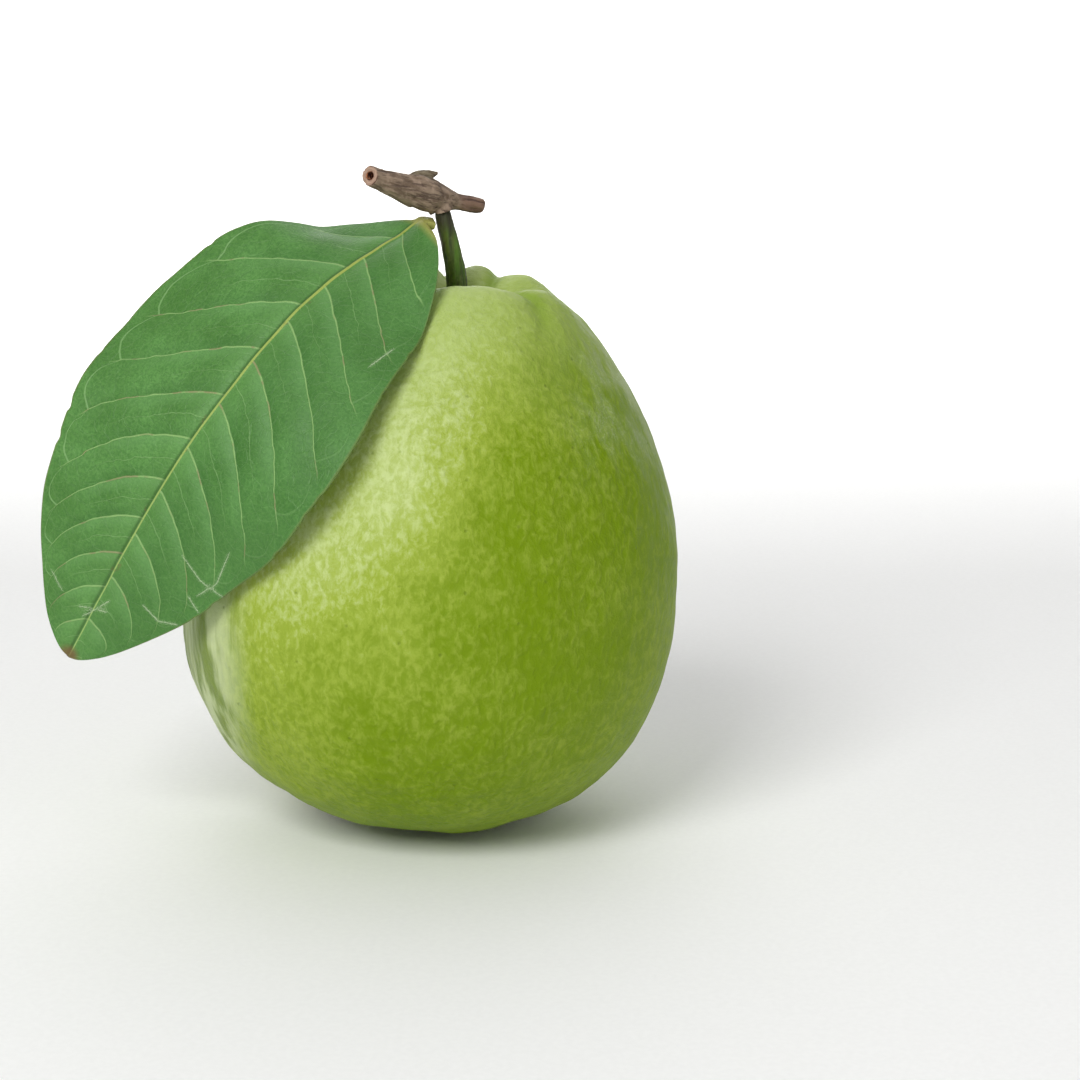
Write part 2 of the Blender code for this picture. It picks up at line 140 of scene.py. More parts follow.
def new_group(name, inputs, outputs):
    """An empty node group with its named sockets: gives the group, its inputs and its output node."""
    group = bpy.data.node_groups.new(name, "ShaderNodeTree")
    for label, kind, value in inputs:
        socket = group.interface.new_socket(label, in_out="INPUT", socket_type=kind)
        if kind == "NodeSocketFloat":
            socket.default_value = value
    for label, kind in outputs:
        group.interface.new_socket(label, in_out="OUTPUT", socket_type=kind)
    return group, group.nodes.new("NodeGroupInput").outputs, group.nodes.new("NodeGroupOutput")


patches, given, out = new_group(
    "patches",
    (
        ("Vector", "NodeSocketVector", None),
        ("Scale", "NodeSocketFloat", 100.0),
        ("Detail", "NodeSocketFloat", 3.0),
        ("Low", "NodeSocketFloat", 0.45),
        ("High", "NodeSocketFloat", 0.6),
    ),
    (("Mask", "NodeSocketFloat"),),
)
cloud = add(
    patches,
    "ShaderNodeTexNoise",
    {"Vector": given["Vector"], "Scale": given["Scale"], "Detail": given["Detail"], "Roughness": 0.6},
)
edge = rise(patches, cloud.outputs["Fac"], given["Low"], given["High"])
patches.links.new(edge, out.inputs["Mask"])

pores, given, out = new_group(
    "pores",
    (
        ("Vector", "NodeSocketVector", None),
        ("Scale", "NodeSocketFloat", 300.0),
        ("Size", "NodeSocketFloat", 0.2),
        ("Share", "NodeSocketFloat", 0.5),
    ),
    (("Mask", "NodeSocketFloat"),),
)
cells = add(pores, "ShaderNodeTexVoronoi", {"Vector": given["Vector"], "Scale": given["Scale"]})
spot = rise(pores, cells.outputs["Distance"], given["Size"], 0.0)
chosen = add(pores, "ShaderNodeSeparateColor", {"Color": cells.outputs["Color"]})
kept = sum_of(pores, "LESS_THAN", chosen.outputs[0], given["Share"])
pores.links.new(sum_of(pores, "MULTIPLY", spot, kept), out.inputs["Mask"])


def mask_of(tree, group, coords, **values):
    """Places one of the shared groups and gives its mask."""
    made = add(tree, "ShaderNodeGroup", node_tree=group)
    tree.links.new(coords, made.inputs["Vector"])
    for name, value in values.items():
        made.inputs[name].default_value = value
    return made.outputs["Mask"]


def stretched(tree, coords, scale, turn=(0, 0, 0)):
    """Coordinates squeezed and turned, so that a pattern runs along a piece."""
    return add(tree, "ShaderNodeMapping", {"Vector": coords, "Scale": scale, "Rotation": turn}).outputs[0]


fruit = copy_of("fruit")
finish_with(fruit, "SUBSURF", levels=2, render_levels=2)
fruit_foot = Vector((-6.25, -0.73, 0.23)) * MM
to_upright = Matrix.Rotation(math.radians(-6.7), 3, "Y")
skin_centre = Vector((0, 0, 66)) * MM
# The folds between the lobes of the shoulder: azimuths about the fruit's own axis, one in each furrow
folds = (10, 65, 105, 155, -140, -50)
fold_depth = 0.8 * MM
fold_shares = []
for vert in fruit.data.vertices:
    stood = to_upright @ (vert.co - fruit_foot)
    radius = math.hypot(stood.x, stood.y)
    azimuth = math.degrees(math.atan2(stood.y, stood.x))
    fade = max(0, min(1, (32 * MM - radius) / (14 * MM), (radius - 4 * MM) / (6 * MM)))
    fade *= max(0, min(1, (stood.z - 84 * MM) / (12 * MM)))
    share = depth = 0
    for middle in folds:
        away = (azimuth - middle + 5 * math.sin(radius / (4 * MM)) + 180) % 360 - 180
        depth += fold_depth * math.exp(-((away / 5) ** 2))
        share += 0.85 * math.exp(-((away / 10) ** 2))
    vert.co -= fade * depth * (vert.co - skin_centre).normalized()
    fold_shares.append(fade * min(1, share))
fruit.data.attributes.new("folds", "FLOAT", "POINT").data.foreach_set("value", fold_shares)
roughen(fruit, 0.22 * MM, (7 * MM, 7 * MM, 9 * MM))
roughen(fruit, 0.13 * MM, (2.6 * MM, 2.6 * MM, 3.6 * MM))
for vert in fruit.data.vertices:
    vert.co.z = max(0, vert.co.z)
bpy.ops.object.shade_smooth()

skin, tree, shader = new_finish("waxy_guava_skin")
coords = add(tree, "ShaderNodeTexCoord").outputs["Object"]
place = add(tree, "ShaderNodeSeparateXYZ", {0: coords}).outputs
upright = stretched(tree, coords, (1, 1, 0.7))
wavy = noise_of(tree, upright, 330.0, output="Color")
bent = add(tree, "ShaderNodeVectorMath", {0: wavy, "Scale": 0.0018}, operation="SCALE").outputs[0]
bent = add(tree, "ShaderNodeVectorMath", {0: upright, 1: bent}, operation="ADD").outputs[0]
broad = noise_of(tree, coords, 42.0, 4.0)
patchy = noise_of(tree, bent, 170.0, 6.0, 0.7)
curls = noise_of(tree, bent, 700.0, 3.0, 0.6)
wisps = rise(tree, sum_of(tree, "ABSOLUTE", sum_of(tree, "SUBTRACT", curls, 0.5)), 0.035, 0.0)
flecks = mask_of(tree, patches, bent, Scale=800.0, Detail=4.0, Low=0.36, High=0.70)
# Painted highlight: the skin is paler towards the left and the top, where the key light falls. The pale
# part fades towards the bottom, so the skin is darker there with painted shade. Random bloom and mottling
# are laid over this.
lit_slant = sum_of(tree, "MULTIPLY_ADD", place["Z"], -0.35, sum_of(tree, "ADD", place["X"], 0.0228))
highlight_fade_low = rise(tree, place["Z"], 0.030, 0.070, 0.18, 1.0)
bloom_and_highlight = sum_of(tree, "MULTIPLY", rise(tree, lit_slant, 0.018, -0.010), highlight_fade_low)
bloom_and_highlight = sum_of(tree, "MULTIPLY_ADD", sum_of(tree, "SUBTRACT", broad, 0.5), 0.9, bloom_and_highlight)
bloom_and_highlight = sum_of(tree, "MULTIPLY_ADD", sum_of(tree, "SUBTRACT", patchy, 0.5), 0.65, bloom_and_highlight)
bloom_and_highlight = sum_of(tree, "MULTIPLY_ADD", sum_of(tree, "SUBTRACT", flecks, 0.5), 0.42, bloom_and_highlight)
bloom_and_highlight = sum_of(tree, "MULTIPLY_ADD", wisps, rise(tree, bloom_and_highlight, 0.0, 0.8, 0.05, 0.12), bloom_and_highlight)
colour = blend(tree, rise(tree, bloom_and_highlight, -0.30, 0.75), paint(110, 137, 0), paint(152, 171, 66))
colour = blend(tree, rise(tree, bloom_and_highlight, 0.45, 1.35), colour, paint(190, 205, 138))
crown = rise(tree, sum_of(tree, "MULTIPLY_ADD", broad, 0.02, place["Z"]), 0.090, 0.118)
olive = blend(tree, rise(tree, bloom_and_highlight, 0.0, 1.0), paint(150, 171, 84), paint(162, 182, 102))
colour = tint(tree, crown, 0.8, colour, olive)
# Painted shade: the skin is darker green down in the folds of the shoulder.
fold_shade = add(tree, "ShaderNodeAttribute", attribute_name="folds").outputs["Fac"]
colour = blend(tree, rise(tree, fold_shade, 0.15, 0.9, 0.0, 0.7), colour, paint(122, 150, 44))
# Painted highlight: the ridges of the lobes at the top of the shoulder, away from the folds, are paler.
crest_highlight = sum_of(tree, "MULTIPLY", rise(tree, place["Z"], 0.1035, 0.1085), rise(tree, fold_shade, 0.35, 0.05))
colour = tint(tree, crest_highlight, 0.30, colour, paint(186, 200, 142))
hanging = stretched(tree, coords, (1, 1, 0.16))
runs = mask_of(tree, patches, hanging, Scale=210.0, Detail=4.0, Low=0.42, High=0.62)
# Painted sheen: a streaked greyish band along the left side of the fruit, below the leaf.
rim_sheen_streaks = blend(tree, runs, paint(196, 206, 166), paint(112, 130, 74))
below_leaf = rise(tree, place["Z"], 0.072, 0.055)
edge = sum_of(tree, "MULTIPLY", rise(tree, place["X"], -0.0310, -0.0410), below_leaf)
colour = tint(tree, edge, 0.7, colour, rim_sheen_streaks)
# Pale streaks on the right of the shoulder, near the fruit's outline: waxy bloom and painted sheen.
shoulder = rise(tree, place["Z"], 0.068, 0.086)
bloom_and_rim_sheen = sum_of(tree, "MULTIPLY", rise(tree, place["X"], 0.020, 0.040), shoulder)
bloom_and_rim_sheen = sum_of(tree, "MULTIPLY", bloom_and_rim_sheen, rise(tree, wisps, 0.0, 1.0, 0.18, 0.45))
bloom_and_rim_sheen = sum_of(tree, "MULTIPLY", bloom_and_rim_sheen, sum_of(tree, "SUBTRACT", 1.0, runs))
colour = blend(tree, bloom_and_rim_sheen, colour, paint(206, 214, 186))
specks = mask_of(tree, pores, coords, Scale=420.0, Size=0.2, Share=0.14)
colour = tint(tree, specks, 0.35, colour, paint(84, 104, 30))
tree.links.new(colour, shader.inputs["Base Color"])
tree.links.new(rise(tree, flecks, 0.0, 1.0, 0.46, 0.58), shader.inputs["Roughness"])
shader.inputs["Specular IOR Level"].default_value = 0.14
shader.inputs["Subsurface Weight"].default_value = 0.10
shader.inputs["Subsurface Radius"].default_value = (0.9, 1.0, 0.25)
shader.inputs["Subsurface Scale"].default_value = 0.002
relief = noise_of(tree, bent, 400.0, 5.0, 0.6)
relief = sum_of(tree, "ADD", relief, sum_of(tree, "MULTIPLY", specks, -0.25))
bump = add(tree, "ShaderNodeBump", {"Strength": 0.8, "Distance": 0.0008, "Height": relief})
tree.links.new(bump.outputs[0], shader.inputs["Normal"])
fruit.data.materials.append(skin)
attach(fruit, "root")
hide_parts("fruit")

# Calyx: what is left of the flower at the blossom end, five dry sepals round a crusty dish.
# It is thin brown plant tissue, grown onto the fruit in its shallow basin.
calyx = copy_of("calyx")
finish_with(calyx, "SUBSURF", levels=2, render_levels=2)
roughen(calyx, 0.12 * MM, (0.9 * MM, 0.9 * MM, 0.9 * MM))
bpy.ops.object.shade_smooth()
crust, tree, shader = new_finish("dry_calyx")
coords = add(tree, "ShaderNodeTexCoord").outputs["Object"]
flakes = mask_of(tree, patches, coords, Scale=900.0, Detail=4.0, Low=0.42, High=0.62)
burnt = mask_of(tree, patches, coords, Scale=300.0, Detail=3.0, Low=0.45, High=0.6)
colour = blend(tree, flakes, paint(74, 50, 32), paint(140, 112, 82))
colour = tint(tree, burnt, 0.6, colour, paint(44, 28, 20))
tree.links.new(colour, shader.inputs["Base Color"])
tree.links.new(rise(tree, flakes, 0.0, 1.0, 0.95, 0.8), shader.inputs["Roughness"])
bump = add(tree, "ShaderNodeBump", {"Strength": 0.7, "Distance": 0.0002, "Height": flakes})
tree.links.new(bump.outputs[0], shader.inputs["Normal"])
calyx.data.materials.append(crust)
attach(calyx, "root")
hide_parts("calyx")

# Stalk: the green shoot that the fruit hung by, woody and finely ridged along its length.
# It grows out of the stalk cavity and into the underside of the twig, where painted shade darkens its top.
stalk = copy_of("stalk")
finish_with(stalk, "SUBSURF", levels=3, render_levels=3)
finish_with(stalk, "DISPLACE", strength=0.09 * MM, mid_level=0.0)
roughen(stalk, 0.16 * MM, (0.8 * MM, 0.8 * MM, 7 * MM))
roughen(stalk, 0.05 * MM, (0.4 * MM, 0.4 * MM, 1.2 * MM))
bpy.ops.object.shade_smooth()
rind, tree, shader = new_finish("green_stalk")
coords = add(tree, "ShaderNodeTexCoord").outputs["Object"]
place = add(tree, "ShaderNodeSeparateXYZ", {0: coords}).outputs
along = stretched(tree, coords, (1, 1, 0.10))
streaks = mask_of(tree, patches, along, Scale=1100.0, Detail=3.0, Low=0.38, High=0.62)
lit = mask_of(tree, patches, along, Scale=420.0, Detail=1.0, Low=0.50, High=0.62)
slower = stretched(tree, coords, (1, 1, 0.35))
brown = mask_of(tree, patches, slower, Scale=380.0, Detail=4.0, Low=0.50, High=0.62)
grey = mask_of(tree, patches, coords, Scale=900.0, Detail=4.0, Low=0.55, High=0.7)
colour = blend(tree, streaks, paint(50, 64, 18), paint(78, 94, 28))
colour = tint(tree, lit, 0.6, colour, paint(92, 136, 30))
colour = tint(tree, brown, 0.75, colour, paint(62, 48, 26))
colour = tint(tree, grey, 0.2, colour, paint(138, 136, 92))
# Painted shade: the stalk turns dark near its top, under the twig.
shade_under_twig = rise(tree, place["Z"], 0.1140, 0.1180)
colour = tint(tree, shade_under_twig, 0.8, colour, paint(44, 36, 24))
tree.links.new(colour, shader.inputs["Base Color"])
tree.links.new(rise(tree, streaks, 0.0, 1.0, 0.62, 0.5), shader.inputs["Roughness"])
bump = add(tree, "ShaderNodeBump", {"Strength": 0.6, "Distance": 0.0002, "Height": streaks})
tree.links.new(bump.outputs[0], shader.inputs["Normal"])
stalk.data.materials.append(rind)
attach(stalk, "root")
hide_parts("stalk")

# Twig: a short length of the branch, cut with secateurs at its thick end, with a bud scale on top.
# It is brown bark over pale wood with a dark pith, and it swells where stalk and leaf grow from it.
twig = copy_of("twig")
finish_with(twig, "REMESH", mode="VOXEL", voxel_size=0.11 * MM)
finish_with(twig, "SMOOTH", factor=0.5, iterations=6)
stalk_top = Vector((1.77, -1.73, 119.601)) * MM
joint = stalk_top + Vector((-0.7, 0, 2.7)) * MM
to_cut_end = Vector((-12.2, -10, 4.75)) * MM
oblique_cut = Vector((0.10, 0.75, 0.05))
cut_middle = joint + to_cut_end
cut_way = (oblique_cut - to_cut_end.normalized()).normalized()
bud_middle = joint + Vector((-2.87, -1.27, 4.1)) * MM
pith_radius = 0.85 * MM
grain_way = Vector((0.78, 0.58, -0.23)).normalized()
to_grain = grain_way.to_track_quat("Z", "Y").to_matrix().transposed()
roughen(twig, 0.22 * MM, (1.9 * MM, 1.9 * MM, 4.5 * MM), to_grain)
roughen(twig, 0.11 * MM, (0.75 * MM, 0.75 * MM, 3.2 * MM), to_grain)
roughen(twig, 0.06 * MM, (0.35 * MM, 0.35 * MM, 0.7 * MM), to_grain)
bpy.ops.object.shade_smooth()

bark, tree, shader = new_finish("twig_bark")
coords = add(tree, "ShaderNodeTexCoord").outputs["Object"]
place = add(tree, "ShaderNodeSeparateXYZ", {0: coords}).outputs
turned = stretched(tree, coords, (1, 1, 1), tuple(to_grain.to_euler()))
along = stretched(tree, turned, (1, 1, 0.16))
streaks = mask_of(tree, patches, along, Scale=900.0, Detail=4.0, Low=0.38, High=0.62)
lines = mask_of(tree, patches, along, Scale=1400.0, Detail=3.0, Low=0.54, High=0.64)
scuffs = mask_of(tree, patches, coords, Scale=420.0, Detail=4.0, Low=0.48, High=0.64)
knots = mask_of(tree, pores, coords, Scale=620.0, Size=0.34, Share=0.2)
colour = blend(tree, streaks, paint(106, 88, 72), paint(142, 122, 102))
colour = tint(tree, scuffs, 0.45, colour, paint(178, 154, 134))
younger = rise(tree, sum_of(tree, "ADD", place["X"], place["Y"]), 0.0030, 0.0065)
young_bark = blend(tree, streaks, paint(86, 60, 48), paint(118, 90, 74))
colour = tint(tree, younger, 0.85, colour, young_bark)
colour = tint(tree, lines, 0.65, colour, paint(66, 48, 42))
colour = tint(tree, knots, 0.7, colour, paint(58, 38, 30))
bud_away = add(tree, "ShaderNodeVectorMath", {0: coords, 1: tuple(bud_middle)}, operation="DISTANCE")
bud = rise(tree, bud_away.outputs["Value"], 0.0032, 0.0022)
scale_colour = blend(tree, streaks, paint(88, 78, 60), paint(128, 118, 94))
colour = tint(tree, bud, 0.85, colour, scale_colour)
tree.links.new(colour, shader.inputs["Base Color"])
tree.links.new(rise(tree, streaks, 0.0, 1.0, 0.85, 0.68), shader.inputs["Roughness"])
relief = sum_of(tree, "SUBTRACT", streaks, lines)
bump = add(tree, "ShaderNodeBump", {"Strength": 0.7, "Distance": 0.0002, "Height": relief})
tree.links.new(bump.outputs[0], shader.inputs["Normal"])

wood, tree, shader = new_finish("cut_wood")
coords = add(tree, "ShaderNodeTexCoord").outputs["Object"]
off_pith = add(tree, "ShaderNodeVectorMath", {0: coords, 1: tuple(cut_middle)}, operation="DISTANCE")
off_pith = off_pith.outputs["Value"]
uneven = noise_of(tree, coords, 900.0)
ring = sum_of(tree, "ADD", off_pith, sum_of(tree, "MULTIPLY_ADD", uneven, 0.0012, -0.0004))
rings = sum_of(tree, "PINGPONG", ring, 0.00022)
colour = blend(tree, rise(tree, rings, 0.0, 0.0002), paint(148, 120, 102), paint(170, 142, 122))
colour = blend(tree, rise(tree, ring, 0.00125, 0.00100), colour, paint(104, 62, 44))
colour = blend(tree, rise(tree, ring, 0.00185, 0.00205), colour, paint(90, 66, 54))
tree.links.new(colour, shader.inputs["Base Color"])
tree.links.new(rise(tree, uneven, 0.3, 0.7, 0.7, 0.85), shader.inputs["Roughness"])
bump = add(tree, "ShaderNodeBump", {"Strength": 0.4, "Distance": 0.0001, "Height": rings})
tree.links.new(bump.outputs[0], shader.inputs["Normal"])

pith, tree, shader = new_finish("dark_pith")
coords = add(tree, "ShaderNodeTexCoord").outputs["Object"]
crumbs = mask_of(tree, patches, coords, Scale=1600.0, Detail=3.0, Low=0.42, High=0.62)
colour = blend(tree, crumbs, paint(64, 30, 20), paint(168, 108, 72))
tree.links.new(colour, shader.inputs["Base Color"])
shader.inputs["Roughness"].default_value = 0.9
bump = add(tree, "ShaderNodeBump", {"Strength": 0.7, "Distance": 0.0002, "Height": crumbs})
tree.links.new(bump.outputs[0], shader.inputs["Normal"])

for finish in (bark, wood, pith):
    twig.data.materials.append(finish)
for face in twig.data.polygons:
    off = face.center - cut_middle
    depth = off.dot(cut_way)
    around = (off - cut_way * depth).length
    if around < pith_radius and -MM < depth < 3 * MM:
        face.material_index = 2
    elif depth < 0.22 * MM and around < 2.3 * MM and -face.normal.dot(cut_way) > 0.75:
        face.material_index = 1
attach(twig, "root")
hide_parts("twig")

# Leaf: one leathery guava leaf on a short, thick petiole that grows from the twig beside the stalk.
# It droops over the fruit's left side. Its veins are sunk in the upper face and stand out below,
# and it carries a few dry scars and brown patches.
leaf_root = stalk_top + Vector((-1.45, -1.4, -1.9)) * MM
petiole_way = Vector((-0.87, -0.35, 0.35)).normalized()
midrib_places = (
    (0, 0, 0),
    (-2.4, -1.1, 0.3),
    (-22, -17, -12),
    (-40, -27, -32.5),
    (-53, -25, -52),
    (-69, -19, -80),
)
petiole_length, petiole_half_width, petiole_thickness = 2.8 * MM, 1.15 * MM, 1.9 * MM
# Of the left and the right half, here and below
half_widths = (30.5 * MM, 29.5 * MM)
widest = (0.50, 0.48)
base_rounding, tip_rounding = (2.8, 1.3), (1.3, 1.4)
base_fullness, tip_fullness = (1.0, 0.4), (0.6, 0.7)
margin_falls = (1.5 * MM, 2 * MM)
blade_thickness = 0.45 * MM
vein_count = 11  # side veins on each half


def ease(value):
    """A smooth step from 0 to 1."""
    value = min(1, max(0, value))
    return value * value * (3 - 2 * value)


def leaf_outline(along, half):
    """Width of the left (0) or right (1) half of the blade at a share of its length."""
    reach = widest[half] if along < widest[half] else 1 - widest[half]
    rounding = base_rounding[half] if along < widest[half] else tip_rounding[half]
    fullness = base_fullness[half] if along < widest[half] else tip_fullness[half]
    off = min(1, abs(along - widest[half]) / reach)
    wave = 1 + 0.012 * math.sin(2 * math.pi * (5 * along + 0.2))
    wave -= 0.04 * max(0, noise.noise(Vector((45 * along, 9 * half, 0.5))) - 0.35)
    blade = half_widths[half] * (1 - off**rounding) ** fullness * wave
    return max(blade, petiole_half_width * (1 - ease(along / 0.1)) + 0.3 * MM)


places = [leaf_root + Vector(place) * MM for place in midrib_places]
ways = [petiole_way]
ways += [(after - before).normalized() for before, after in zip(places, places[2:])]
ways.append((places[-1] - places[-2]).normalized())
midrib = []
for first, last, leaving, arriving in zip(places, places[1:], ways, ways[1:]):
    reach = (last - first).length / 3
    curve = interpolate_bezier(first, first + leaving * reach, last - arriving * reach, last, 50)
    midrib += curve[1 if midrib else 0 :]
distances = [0]
for before, after in zip(midrib, midrib[1:]):
    distances.append(distances[-1] + (after - before).length)
leaf_length = distances[-1]


def midrib_at(distance):
    """The place at a distance along the midrib, or straight on from its ends."""
    index = min(max(bisect(distances, distance), 1), len(midrib) - 1)
    step = (distance - distances[index - 1]) / (distances[index] - distances[index - 1])
    return midrib[index - 1].lerp(midrib[index], step)


def blade_point(along, across, lift):
    """A point of the blade from its share along the leaf, its distance across and its height."""
    distance = petiole_length + along * (leaf_length - petiole_length)
    step = 12 * MM * ease((distance + 2 * MM) / (8 * MM)) + MM
    direction = (midrib_at(distance + step) - midrib_at(distance - step)).normalized()
    level = Vector((0, -1, 0)).cross(direction).normalized()
    facing = direction.cross(level).normalized()
    roll = math.radians(40 + 32 * (1 - ease(along / 0.2)) - 18 * ease((along - 0.4) / 0.4))
    side = level * math.cos(roll) + facing * math.sin(roll)
    face = facing * math.cos(roll) - level * math.sin(roll)
    fall = margin_falls[int(across > 0)] * (across / half_widths[1]) ** 2
    groove = 0.5 * MM * math.exp(-((across / (1.5 * MM)) ** 2))
    return midrib_at(distance) + side * across + face * (lift - fall - groove)


def along_at(station, column):
    """Share of the length that a row has reached at a column: rows sweep forward as side veins do."""
    return min(1, station + 0.20 * 4 * station * (1 - station) * abs(column) ** 1.5)


def vein_lines(half, column):
    """Stations of the side veins at a column: they bow, crowd at the tip and lean out to the margin."""
    out_share, bow = min(1, abs(column) / 0.8), 0.007 * math.sin(math.pi * abs(column))
    lines = []
    for number in range(-1, vein_count + 1):
        share = number / (vein_count - 1)
        if half == 0:
            start = 0.055 + 0.865 * share + 0.065 * math.sin(math.pi * share)
            lean = 0.02
        else:
            start = 0.04 + 0.88 * share
            lean = 0.05 - 0.095 * start
        lines.append(start + lean * out_share + bow)
    return lines


def vein_place(half, station, column):
    """Number of the side veins passed, with its fraction, and how far apart they are there."""
    lines = vein_lines(half, column)
    index = min(max(bisect(lines, station), 1), len(lines) - 1)
    apart = lines[index] - lines[index - 1]
    return index - 1 + (station - lines[index - 1]) / apart, apart * leaf_length


half_columns, petiole_rows, blade_rows = 56, 12, 316
columns = [i / half_columns for i in range(-half_columns, half_columns + 1)]
around = 2 * len(columns)
rows = [-1 + i / petiole_rows for i in range(petiole_rows)]
rows += [i / blade_rows for i in range(blade_rows + 1)]
ring_points, ring_flat, ring_blade, ring_veins = [], [], [], []
for row in rows:
    station = max(0, row)
    petiole = 1 - ease(station / 0.06)
    top, under, flat, blade, veins = [], [], [], [], []
    for column in columns:
        half = int(column > 0)
        along = along_at(station, column)
        width = leaf_outline(along, half)
        if row < 0:
            along = row * petiole_length / leaf_length
        across = column * width
        off_middle = math.exp(-((across / (1.5 * MM)) ** 2))
        rounded = math.sqrt(1 - 0.8 * column**2)
        passed, apart = vein_place(half, station, column)
        off_vein = abs(math.sin(math.pi * passed))
        pillow = (off_vein**0.8 - 0.6) * min(1, abs(across) / (5 * MM)) * (1 - abs(column) ** 4)
        ripple = noise.noise(Vector((across / (6 * MM), along * leaf_length / (6 * MM), 0)))
        rib = 0.36 * MM * math.exp(-((across / (0.42 * MM)) ** 2)) * (1 - 0.7 * station)
        below = (1.35 * MM * (1 - 0.75 * station)) * off_middle
        below += 0.16 * MM * math.exp(-((off_vein / 0.12) ** 2)) * (1 - column**4)
        edge_thin = 1 - 0.45 * ease((abs(column) - 0.93) / 0.07)
        thickness = (blade_thickness * edge_thin + below) * (1 - petiole)
        thickness += petiole_thickness * rounded * petiole
        lift = (0.40 * MM * pillow + 0.20 * MM * ripple + rib) * (1 - petiole) + 0.5 * thickness * petiole
        top.append(blade_point(along, across, lift))
        under.append(blade_point(along, across, lift - thickness))
        flat.append((across * 100, along * leaf_length * 100))
        blade.append(((column + 1) / 2, station))
        veins.append((passed, apart * 100))
    ring_points.append(top + under[::-1] + top[:1])
    ring_flat.append(flat + flat[::-1] + flat[:1])
    ring_blade.append(blade + blade[::-1] + blade[:1])
    ring_veins.append(veins + veins[::-1] + veins[:1])

bpy.ops.object.select_all(action="DESELECT")
bpy.ops.mesh.primitive_grid_add(x_subdivisions=around, y_subdivisions=len(rows) - 1, size=1)
leaf = bpy.context.object
leaf.name = leaf.data.name = "leaf_grown"
grid_place = []
for vert in leaf.data.vertices:
    grid_place.append((round((vert.co.x + 0.5) * around), round((vert.co.y + 0.5) * (len(rows) - 1))))
for vert, (i, j) in zip(leaf.data.vertices, grid_place):
    vert.co = ring_points[j][i]
leaf.data.uv_layers[0].name = "flat"
leaf.data.uv_layers.new(name="blade")
leaf.data.uv_layers.new(name="veins")
for face in leaf.data.polygons:
    corners = [(loop, *grid_place[leaf.data.loops[loop].vertex_index]) for loop in face.loop_indices]
    lowest = min(i for loop, i, j in corners)
    middle_column = ring_blade[0][lowest][0] + ring_blade[0][lowest + 1][0] - 1
    half = int(middle_column > 0)
    face.material_index = int(lowest >= len(columns))
    for loop, i, j in corners:
        leaf.data.uv_layers["flat"].data[loop].uv = ring_flat[j][i]
        leaf.data.uv_layers["blade"].data[loop].uv = ring_blade[j][i]
        passed, apart = ring_veins[j][i]
        if abs(ring_blade[j][i][0] - 0.5) < 0.001:
            passed, apart = vein_place(half, max(0, rows[j]), 0)
            apart = apart * 100
        leaf.data.uv_layers["veins"].data[loop].uv = (passed, apart)
bpy.ops.object.mode_set(mode="EDIT")
bpy.ops.mesh.select_all(action="SELECT")
bpy.ops.mesh.remove_doubles(threshold=0.0005 * MM)
bpy.ops.mesh.select_all(action="DESELECT")
bpy.ops.mesh.select_non_manifold()
bpy.ops.mesh.fill_holes(sides=0)
bpy.ops.mesh.select_all(action="SELECT")
bpy.ops.mesh.normals_make_consistent(inside=False)
bpy.ops.object.mode_set(mode="OBJECT")
bpy.ops.object.shade_smooth()

# Dry scars, drawn as lines. A point says how far out it is, right above 0,
# and which side vein it lies by, counted from the stem.
scars = (
    ((0.5, 8), (0.75, 7.5), (1.0, 6.6)),
    ((0.75, 6.5), (0.87, 6.9), (0.85, 7.5)),
    ((0.8, 7.9), (0.95, 7.5)),
    ((0.55, 9.5), (0.8, 9), (0.95, 8.2)),
    ((-0.2, 10.6), (0.2, 10.6)),
    ((-0.1, 10.9), (0.15, 10.4)),
    ((-0.8, 8.9), (-0.6, 9.8)),
    ((0.85, 1.9), (0.8, 2.4)),
)
spots = np.empty(3 * len(leaf.data.vertices))
leaf.data.vertices.foreach_get("co", spots)
spots = spots.reshape(-1, 3)


def off_lines(lines):
    """How far each point of the leaf lies from the nearest of the lines, below 0 on their left side."""
    nearest, side = np.full(len(spots), 1.0), np.ones(len(spots))
    for line in lines:
        places = []
        for column, number in line:
            half = int(column > 0)
            stations = vein_lines(half, column)
            station = float(np.interp(number, range(len(stations)), stations))
            along = along_at(station, column)
            places.append(np.array(blade_point(along, column * leaf_outline(along, half), 0)))
        for first, last in zip(places, places[1:]):
            way = last - first
            share = np.clip((spots - first) @ way / (way @ way), 0, 1)
            off = spots - first - share[:, None] * way
            away = np.linalg.norm(off, axis=1)
            closer = away < nearest
            nearest = np.where(closer, away, nearest)
            side = np.where(closer, np.sign(off @ np.cross(way, (-0.55, -0.75, 0.35))), side)
    return nearest, side


# Red is how near a scar is, green how near the tip is, and alpha how far off the scar, on either side
marks = leaf.data.attributes.new("marks", "FLOAT_COLOR", "POINT")
shares = np.ones((len(spots), 4))
off_scar, side_of_scar = off_lines(scars)
shares[:, 0] = np.exp(-((off_scar / (0.8 * MM)) ** 2))
shares[:, 1] = np.exp(-((np.linalg.norm(spots - np.array(midrib[-1]), axis=1) / (2.5 * MM)) ** 2))
shares[:, 3] = 0.5 + np.clip(off_scar * side_of_scar / (8 * MM), -0.5, 0.5)
marks.data.foreach_set("color", shares.ravel())



def values_of(tree, layer):
    """The values of a UV layer, each by its axis."""
    read = add(tree, "ShaderNodeUVMap", uv_map=layer).outputs[0]
    return add(tree, "ShaderNodeSeparateXYZ", {0: read}).outputs


def net_of(tree, coords, scale):
    """How far a place lies from the lines of an irregular net."""
    settings = {"voronoi_dimensions": "2D", "feature": "DISTANCE_TO_EDGE"}
    net = add(tree, "ShaderNodeTexVoronoi", {"Vector": coords, "Scale": scale}, **settings)
    return net.outputs["Distance"]


